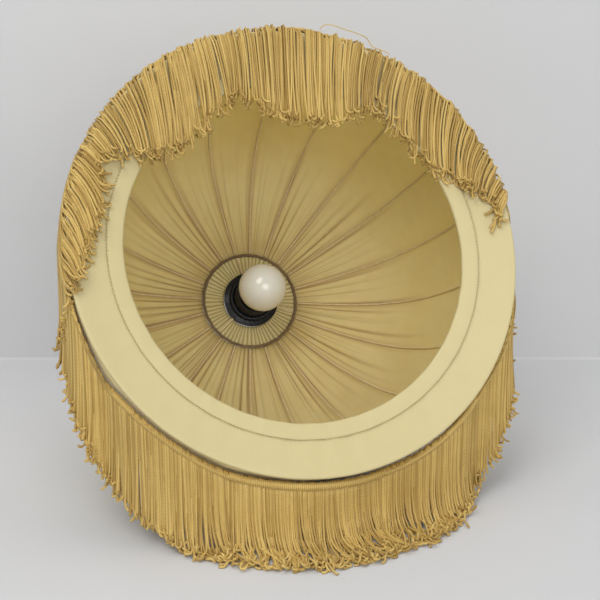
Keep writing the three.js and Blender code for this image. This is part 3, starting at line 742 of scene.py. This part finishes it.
def strand_lines(fringe, steps=27):
    """Every strand as a line of points. A strand leaves the braid towards the rim's front, and those of the upper
    swags start over the rim. Each is then let down in small steps: gravity, stiffness, the shade's solid and the
    floor with friction, and its own length, which follow() keeps."""
    rng = np.random.default_rng(SEED + 11)
    count = fringe.strands
    angle = RIB_TURN + (np.arange(count) + 0.5 + rng.normal(0, 0.12, count)) * 2 * math.pi / count
    depth = header_depth(angle)
    length = fringe.length * (1 + rng.normal(0, 0.018, count))
    step = (length / (steps - 1))[:, None]
    layer = rng.integers(0, 3, count) * 1.3 + rng.uniform(0, 0.6, count)
    clear = (fringe.radius + 0.35 + layer)[:, None]
    around = np.degrees(np.mod(angle, 2 * math.pi))
    over = (around > 24) & (around < 171)
    s = np.arange(steps)[None] * step
    root_z = -depth + 3.0
    root_r = flank_radius(-root_z) + 1.6 + 0.4 * layer

    # Start: those over the rim run forward along the flank, the steeper down the nearer they are to a side, and
    # then down the leaning brim. The others fall straight down the room's vertical and lie forward on the floor.
    beside = np.abs(np.cos(angle)) ** 1.5 * np.where(np.cos(angle) < 0, 3.0, 1.0)
    run = np.hypot(depth + 4, 1.1 * beside * (depth + 4))
    share = np.minimum(s / np.where(over, run, 4.0)[:, None], 1)
    ahead = share * np.where(over, depth + 4, 4.0)[:, None]
    start = polar(np.maximum(root_r[:, None], (RIM + clear) * over[:, None]), angle[:, None], root_z[:, None] + ahead)
    start[..., 1] -= np.where(over, 1.1 * beside * (depth + 4), 0.0)[:, None] * share
    rest = s - np.minimum(s, np.where(over, run, 4.0)[:, None])
    room = np.maximum(above_floor(start[:, :1]) - clear, 0)
    fall = np.where(over[:, None], rest, np.minimum(rest, room))
    inward = 0.16 * np.abs(np.cos(angle)) ** 3 * (np.cos(angle) < 0)
    down = unit(np.where(over[:, None], np.stack([inward, -np.ones(count), 0.12 * np.ones(count)], -1), -UP[None]))
    points = start + fall[..., None] * down[:, None] + (rest - fall)[..., None] * FORWARD
    # Beside the rim a strand from higher up falls outside the lower ones, and near a joint strands draw together.
    side = (~over) * np.abs(np.cos(angle)) ** 4
    points[..., 0] += (np.sign(np.cos(angle)) * side * (0.5 + 0.5 * np.sin(angle)))[:, None] * 0.2 * rest
    turn_in_swag = 2 * np.mod((angle - RIB_TURN) * SWAGS / (2 * math.pi), 1.0) - 1
    pull = np.sign(turn_in_swag) * ease(np.abs(turn_in_swag), 0.62, 1) * (1 - np.abs(turn_in_swag)) * 2 * math.pi / SWAGS / 2 * RIM
    along = np.stack([-np.sin(angle), np.cos(angle), np.zeros(count)], -1)
    points += (pull[:, None] * 0.75 * ease(s, 15, 80))[..., None] * along[:, None]
    # Strands gather in loose bunches with gaps between, more so towards their ends.
    bunch = 3.6 * fold_profile(angle, 28, 64, 9, SEED + 12) * np.where(over, 0.45, 1.0)
    points += (bunch[:, None] * ease(s, 20, 95))[..., None] * along[:, None]
    fixed = points[:, :2].copy()
    weight = -UP * 0.55
    drift = rng.normal(0, 1, (count, 2)) * fringe.wander / 90
    lean = np.stack([drift[:, 0], 0.2 * drift[:, 1], drift[:, 1] * 0.4], -1)[:, None] * (np.arange(steps) / steps)[None, :, None] ** 2
    rounds = 130
    for turn in range(rounds):
        before = points.copy()
        points[:, 2:] += weight + lean[:, 2:]
        for _ in range(2):
            middle = 0.5 * (points[:, :-2] + points[:, 2:])
            points[:, 1:-1] += 0.35 * (middle - points[:, 1:-1])
        points, touching = push_clear(points, clear)
        slip = np.where(touching, 0.45, 0.9)[..., None]
        points = before + (points - before) * slip
        points[:, :2] = fixed
        points = follow(points, step)
    points, _ = push_clear(points, clear)
    points[:, :2] = fixed

    return angle, points, rng


def curl_ends(lines, rng):
    """Turns each strand's heading: a slow bend about the room's vertical where it lies on the floor, and a tight
    curl in its last tenth about an axis square to the strand, so that the loop's end coils. The points are the
    running sum of the turned steps."""
    count, steps, _ = lines.shape
    heading = lines[:, 1:] - lines[:, :-1]
    run = np.cumsum(np.linalg.norm(heading, axis=-1), 1)
    t = run / run[:, -1:]
    on_floor = ease(-above_floor(lines[:, :-1]), -12, -4)
    slow = rng.normal(0, 0.45, (count, 1)) * ease(t, 0.5, 0.95) * on_floor
    most = 2.4 + 2.6 * on_floor[:, -1:]
    tight = rng.choice([-1, 1], (count, 1)) * rng.uniform(0.3, 1.0, (count, 1)) * most * np.clip((t - 0.9) / 0.1, 0, 1)
    last = unit(lines[:, -3:-2] - lines[:, -6:-5])
    tilt = unit(np.cross(last, unit(rng.normal(0, 1, (count, 1, 3)) + 1.5 * FORWARD)))
    for turn, axis in ((slow, np.broadcast_to(UP, heading.shape)), (tight, np.broadcast_to(tilt, heading.shape))):
        cos, sin = np.cos(turn)[..., None], np.sin(turn)[..., None]
        heading = heading * cos + np.cross(axis, heading) * sin + axis * (heading * axis).sum(-1, keepdims=True) * (1 - cos)
    return np.concatenate([lines[:, :1], lines[:, :1] + np.cumsum(heading, 1)], 1)


def resample(lines, places):
    """Each line at the given shares of its own run of points, by linear interpolation between neighbours."""
    where = places * (lines.shape[1] - 1)
    low = np.minimum(where.astype(int), lines.shape[1] - 2)
    share = (where - low)[None, :, None]
    return lines[:, low] * (1 - share) + lines[:, low + 1] * share


class LAMPSHADE_OT_fringe(bpy.types.Operator):
    """Makes the ten swags of twisted bullion loops, the braid that they hang from, and a stray thread"""

    bl_idname = "lampshade.fringe"
    bl_label = "Bullion fringe"

    def execute(self, context):
        fringe = settings().fringe
        angle, lines, rng = strand_lines(fringe)
        places = np.array([0, 0.07, 0.17, 0.29, 0.41, 0.53, 0.64, 0.74, 0.83, 0.90, 0.925, 0.945, 0.965, 0.985, 1.0])
        lines, _ = push_clear(curl_ends(resample(lines, places), rng), fringe.radius + 0.2)
        count, steps, _ = lines.shape
        sides = 4
        taper = np.array([0.8, 0.95] + [1.0] * (steps - 5) + [1.05, 1.1, 0.8])
        radius = fringe.radius * taper[None] * (1 + rng.normal(0, 0.05, (count, 1)))
        points, _ = tubes(lines, radius, sides)
        swag = np.floor(np.mod((angle - RIB_TURN) / (2 * math.pi) * SWAGS, SWAGS)).astype(int)
        run = places * fringe.length
        for k in range(SWAGS):
            mine = points[swag == k]
            n = len(mine)
            uv = np.stack(np.broadcast_arrays(np.arange(sides)[None, None] / sides, run[None, :, None] * np.ones((n, 1, 1))), -1)
            caps = (np.arange(n) * steps * sides)[:, None] + np.arange(sides)[None]
            faces = [tube_faces(n, steps, sides), caps[:, ::-1], caps + (steps - 1) * sides]
            piece = put_mesh("fringe_loops_%02d" % (k + 1), mine, faces, uv)
            shade_points(piece, np.repeat(rng.random(n) ** 1.5, steps * sides))
            finish_piece(piece, material("cord"), "bullion", "shade", "fringe_swag_%02d" % (k + 1))
        self.braid(lines[:, :3], angle, rng)
        self.stray_thread()
        return {"FINISHED"}

    def braid(self, starts, angle, rng):
        """The braid: a band of fine ribs over the strands' first stretch. Each row runs round the shade through the
        strands' mean path, taken over a window of strands, and stands out from it by lift + depth x |cos| of the
        turn within a rib, so that the ribs run along the strands."""
        order = np.argsort(angle)
        window = 31
        path = starts[order]
        path = np.concatenate([path[-(window // 2):], path, path[:window // 2]])
        summed = np.concatenate([np.zeros((1, *path.shape[1:])), np.cumsum(path, 0)])
        mean = (summed[window:] - summed[:-window]) / window
        ribs, per_rib = 760, 4
        columns = ribs * per_rib
        where = np.arange(columns) * len(mean) / columns
        low, share = where.astype(int), (where % 1)[:, None, None]
        centre = mean[low] * (1 - share) + mean[(low + 1) % len(mean)] * share
        rows = np.array([0.0, 0.35, 0.7, 1.05, 1.4])
        centre = resample(centre, rows / 2)
        across = np.roll(centre, -20, 0) - np.roll(centre, 20, 0)
        down = np.gradient(centre, axis=1)
        out = unit(np.cross(down, across))
        toward = np.concatenate([centre[..., :2] * 0.004, 0.5 * np.ones_like(centre[..., :1])], -1)
        out = out * np.sign((out * toward).sum(-1, keepdims=True))
        rib = np.abs(np.cos(np.arange(columns) * math.pi / per_rib))[:, None, None]
        swell = np.array([0.6, 1.0, 1.0, 1.0, 0.7])[None, :, None]
        front = centre + out * (1.9 + 0.9 * rib) * swell
        points = np.concatenate([front, (front - 1.0 * out)[:, ::-1]], 1)
        uv = np.stack(np.broadcast_arrays(np.arange(columns)[:, None] / per_rib, np.concatenate([rows, rows[::-1]])[None] * 8), -1)
        piece = put_mesh("braid_header", points, grid_faces(columns, 2 * len(rows), True, True), uv)
        # Painted shade: the braid is darkened between its ribs, through the tone attribute.
        shade_points(piece, np.repeat(0.75 * (1 - rib[:, 0, 0]) ** 2, 2 * len(rows)))
        finish_piece(piece, material("braid"), "bullion", "shade", "fringe_header")
        return piece

    def stray_thread(self):
        """One loose thread over the top: a low double wave along the rim, with its two ends sunk in the fringe."""
        t = np.linspace(0, 1, 60)
        angle = np.radians(78 - 20 * t + 1.2 * np.sin(9 * t))
        lift = 5.5 * np.sin(math.pi * t) ** 0.5 + 1.2 * np.sin(14 * t)
        line = polar(RIM + 3 + lift, angle, 4 + 5 * np.sin(6 * t))[None]
        points, _ = tubes(line, 0.45, 5)
        uv = np.stack(np.broadcast_arrays(np.arange(5)[None, None] / 5, (t * 70)[None, :, None]), -1)
        piece = put_mesh("stray_thread", points, tube_faces(1, 60, 5), uv)
        return finish_piece(piece, material("braid"), "bullion", "shade")


# ------------------------------------------------------------------ lampholder and bulb
def turned(name, section, columns, shape=None, uv_scale=1.0):
    """A closed section of (radius, z) points carried round the axis. shape(radius, z, angle) may change the radius,
    as knurls and threads do."""
    section = np.array(section, float)
    angle = np.arange(columns) * 2 * math.pi / columns
    r, z = section[:, :1] * np.ones((1, columns)), section[:, 1:] * np.ones((1, columns))
    if shape is not None:
        r = shape(r, z, angle[None])
    uv = np.stack(np.broadcast_arrays(angle[None] * 20, np.arange(len(section))[:, None] * uv_scale), -1)
    return put_mesh(name, polar(r, angle[None], z), grid_faces(len(section), columns, True, True), uv)


def eased_section(corners, radius, per_corner=3):
    """A closed polygon with each corner rounded: a quadratic curve from `radius` before it to `radius` after it."""
    corners = np.array(corners, float)
    before, after = np.roll(corners, 1, 0), np.roll(corners, -1, 0)
    reach = np.minimum(radius, 0.45 * np.minimum(np.linalg.norm(before - corners, axis=1), np.linalg.norm(after - corners, axis=1)))[:, None]
    a, b = corners + unit(before - corners) * reach, corners + unit(after - corners) * reach
    t = np.linspace(0, 1, per_corner)[None, :, None]
    curve = (1 - t) ** 2 * a[:, None] + 2 * t * (1 - t) * corners[:, None] + t**2 * b[:, None]
    return curve.reshape(-1, 2)


class LAMPSHADE_OT_lampholder(bpy.types.Operator):
    """Makes the lampholder: the threaded skirt, the notched shade ring, the stop ring, the cap and the cord grip"""

    bl_idname = "lampshade.lampholder"
    bl_label = "Lampholder"

    def execute(self, context):
        # The skirt: its outer radius falls by a sine of run over pitch less turn, which cuts a round thread.
        z = np.linspace(-219.4, -187.4, 90)
        out = np.stack([np.full(90, 19.95), z], 1)
        section = np.concatenate([[[17.6, -219.5], [19.4, -219.55]], out, [[19.7, -186.6], [19.0, -186.1], [17.9, -186.2], [17.55, -187.0]]])

        def thread(r, z, angle):
            groove = 0.5 + 0.5 * np.sin(2 * math.pi * z / 2.6 - angle)
            return r - 0.75 * groove * (r > 19.9) * ease(z, -219, -216) * ease(-z, 187, 189)

        skirt = turned("threaded_skirt", section, 96, thread)
        finish_piece(skirt, material("resin"), "bakelite", "shade", "holder_skirt")

        # The shade ring: a flange and a hub whose grip is notched by the flattened cosine of 30 turns.
        ring = eased_section([[20.45, -211.75], [28.9, -211.75], [28.9, -209.4], [24.0, -208.4], [23.4, -203.3], [20.45, -203.3]], 0.5)

        def notched(r, z, angle):
            return r - 0.45 * (np.cos(30 * angle) > 0.45) * ease(r, 22.6, 23.2) * ease(z, -208.6, -208.0) * ease(-r, -27, -25.5)

        loose = turned("notched_shade_ring", ring, 360, notched)
        finish_piece(loose, material("resin"), "bakelite", "ring", "shade_ring")

        stop = turned("ridged_stop_ring", eased_section([[20.45, -218.7], [25.9, -218.7], [25.9, -214.3], [20.45, -214.3]], 0.7), 240,
                      lambda r, z, a: r - 0.35 * (np.cos(40 * a) > 0.2) * (r > 25.2))
        finish_piece(stop, material("resin"), "bakelite", "shade", "stop_ring")

        cap = turned("holder_cap_shell", eased_section(
            [[19.55, -220.05], [21.95, -220.05], [21.95, -238], [18.7, -244.6], [9.2, -247.95], [3.45, -247.95], [3.45, -245.6],
             [14.5, -240.6], [19.55, -235.6]], 1.6, 5), 120,
            lambda r, z, a: r - 0.4 * (np.cos(36 * a) > 0.3) * (r > 21.7) * ease(z, -236, -234) * ease(-z, 222, 224))
        finish_piece(cap, material("resin"), "bakelite", "shade", "holder_cap")

        grip = turned("cord_grip_sleeve", eased_section(
            [[3.45, -248.45], [6.45, -248.45], [6.45, -258.6], [5.6, -260.35], [3.45, -260.35]], 0.5), 72,
            lambda r, z, a: r - 0.5 * (np.cos(12 * a) > 0.5) * (r > 6.2))
        finish_piece(grip, material("resin"), "bakelite", "shade", "cord_grip")
        return {"FINISHED"}


class LAMPSHADE_OT_bulb(bpy.types.Operator):
    """Makes the golf-ball bulb: its opal glass and its screw cap with a rolled thread"""

    bl_idname = "lampshade.bulb"
    bl_label = "Bulb"

    def execute(self, context):
        ball = -158.2
        rise = np.radians(np.linspace(-58, 90, 40))
        out = np.stack([23.95 * np.cos(rise), ball + 23.95 * np.sin(rise)], 1)
        neck = np.array([[11.85, -199.6], [11.85, -192.0], [11.9, -184.2], [12.0, -181.2]])
        line = np.concatenate([neck, out])
        line[-1, 0] = 0.02
        back = line[::-1] - [[0.9, 0.0]]
        back[:, 0] = np.maximum(back[:, 0], 0.02)
        back[0, 1] -= 0.9
        inner = np.stack([np.maximum(23.0 * np.cos(rise[::-1]), 0.02), ball + 23.0 * np.sin(rise[::-1])], 1)
        section = np.concatenate([line, inner, [[11.0, -181.6], [10.95, -184.2], [10.95, -192.0], [10.95, -199.6]]])
        glass = turned("opal_ball", section, 72)
        finish_piece(glass, material("opal"), "opal_glass", "bulb", "bulb_glass")

        z = np.linspace(-203.2, -185.6, 70)
        out = np.stack([np.full(70, 12.95), z], 1)
        section = np.concatenate([[[12.35, -203.6]], out, [[12.6, -184.2], [12.3, -183.75], [12.3, -203.0]]])
        cap = turned("threaded_cap", section, 96,
                     lambda r, z, a: r - 0.55 * (0.5 + 0.5 * np.sin(2 * math.pi * z / 3.62 - a)) * (r > 12.9) * ease(-z, 186, 188) * ease(z, -203.2, -201.5))
        finish_piece(cap, material("nickel"), "bulb_metal", "bulb", "bulb_cap")
        return {"FINISHED"}


class LAMPSHADE_OT_fittings(bpy.types.Operator):
    """Gives the frame's wires and the holder's inner pieces, kept from the frame, their materials"""

    bl_idname = "lampshade.fittings"
    bl_label = "Wires and inner pieces"

    def execute(self, context):
        kinds = {"holder_insert": "porcelain", "screw_shell": "brass", "centre_contact": "brass",
                 "bulb_eyelet": "nickel", "bulb_insulator": "dark_glass", "crown_ring": "ring_tape"}
        wires = ("rib_", "rim_strut_", "spider_arm_", "outer_rim_wire", "opening_wire", "crown_ring", "fitter_ring")
        for name, node in FRAME["nodes"].items():
            kind = kinds.get(name, "tape" if name.startswith(wires) else None)
            if kind is None:
                continue
            if not node.material_slots:
                node.data.materials.append(material(kind))
            for place in node.material_slots:
                place.material = material(kind)
        return {"FINISHED"}


# ------------------------------------------------------------------ stage
class LAMPSHADE_OT_stage(bpy.types.Operator):
    """Makes the pale floor that sweeps up behind, the soft lights and the camera"""

    bl_idname = "lampshade.stage"
    bl_label = "Stage"

    def execute(self, context):
        # The sweep: flat floor, a quarter circle of radius 0.3 m, then an upright, carried across the room.
        bend = np.linspace(0, math.pi / 2, 16)
        behind, radius = 0.34, 0.003
        profile = np.concatenate([[[-4.0, 0.0]], np.stack([behind + radius * np.sin(bend), radius * (1 - np.cos(bend))], 1),
                                  [[behind + radius, 3.2]]])
        x = np.array([-3.0, -1.0, 0.0, 1.0, 3.0])
        points = np.stack(np.broadcast_arrays(x[None], profile[:, :1], profile[:, 1:]), -1).reshape(-1, 3)
        mesh = bpy.data.meshes.new("floor_sweep")
        mesh.from_pydata(points.tolist(), [], grid_faces(len(profile), 5).tolist())
        mesh.polygons.foreach_set("use_smooth", np.full(len(mesh.polygons), True))
        floor = bpy.data.objects.new("floor_sweep", mesh)
        context.scene.collection.objects.link(floor)
        made, tree, shader = new_material("painted_floor", 0.75)
        dye = placed(tree, "dye", Vector=coords(tree, "Object"), Colour=paint("floor"), Stain=(0.58, 0.585, 0.60, 1), Scale=1.5, Amount=0.25)
        tree.links.new(dye.outputs["Colour"], shader.inputs["Base Color"])
        # Its far side is clear, so that the shade can also be seen from behind.
        facing = tree.nodes.new("ShaderNodeNewGeometry").outputs["Backfacing"]
        tree.links.new(maths(tree, "SUBTRACT", 1.0, facing), shader.inputs["Alpha"])
        floor.data.materials.append(made)

        context.scene.view_settings.view_transform = "Standard"
        world = bpy.data.worlds.new("soft_room")
        context.scene.world = world
        world.use_nodes = True
        world.node_tree.nodes["Background"].inputs[0].default_value = (0.96, 0.98, 1.0, 1)
        world.node_tree.nodes["Background"].inputs[1].default_value = 0.47

        def area(name, place, aim, size, power, colour):
            light = bpy.data.lights.new(name, "AREA")
            light.size, light.energy, light.color = size, power, colour
            lamp = bpy.data.objects.new(name, light)
            lamp.location = place
            away = np.array(place) - np.array(aim)
            yaw = math.atan2(away[0], -away[1])
            tilt = math.acos(away[2] / np.linalg.norm(away))
            lamp.rotation_euler = (tilt, 0, yaw)
            context.scene.collection.objects.link(lamp)

        area("key", (-0.7, -1.3, 1.9), (0, 0, 0.2), 1.2, 18.5, (1.0, 0.98, 0.95))
        area("fill", (0.5, -1.7, 0.75), (0, 0, 0.25), 0.9, 10, (1.0, 0.99, 0.97))
        area("over", (0.0, 0.3, 2.2), (0, 0, 0.2), 1.6, 12.5, (1.0, 0.99, 0.97))

        camera = bpy.data.objects.new("camera", bpy.data.cameras.new("camera"))
        camera.data.lens, camera.data.sensor_width = 60, 36
        camera.location = MIDDLE + np.array([-0.0040, -0.8438, 0.1758])
        camera.rotation_euler = (math.radians(75), 0, 0)
        context.scene.collection.objects.link(camera)
        context.scene.camera = camera
        return {"FINISHED"}


class LAMPSHADE_PT_panel(bpy.types.Panel):
    """Lists the pieces in the 3D view's sidebar"""

    bl_label = "Lamp shade"
    bl_idname = "LAMPSHADE_PT_panel"
    bl_space_type = "VIEW_3D"
    bl_region_type = "UI"
    bl_category = "Lamp shade"

    def draw(self, context):
        for step in STEPS:
            self.layout.operator(step.bl_idname)
        chosen = context.scene.lamp_shade
        for part in (chosen.colours, chosen.cloth, chosen.fringe):
            box = self.layout.box()
            for name in part.__annotations__:
                box.prop(part, name)


STEPS = (LAMPSHADE_OT_stage, LAMPSHADE_OT_fittings, LAMPSHADE_OT_silk, LAMPSHADE_OT_crown, LAMPSHADE_OT_brim,
         LAMPSHADE_OT_fringe, LAMPSHADE_OT_lampholder, LAMPSHADE_OT_bulb)
CLASSES = (ShadeColours, ClothSizes, FringeSizes, Settings, *STEPS, LAMPSHADE_PT_panel)


def register():
    for cls in CLASSES:
        bpy.utils.register_class(cls)
    bpy.types.Scene.lamp_shade = bpy.props.PointerProperty(type=Settings)


def unregister():
    del bpy.types.Scene.lamp_shade
    for cls in reversed(CLASSES):
        bpy.utils.unregister_class(cls)


def main():
    register()
    for step in STEPS:
        name = step.bl_idname.split(".")[1]
        getattr(bpy.ops.lampshade, name)()


if __name__ == "__main__":
    main()
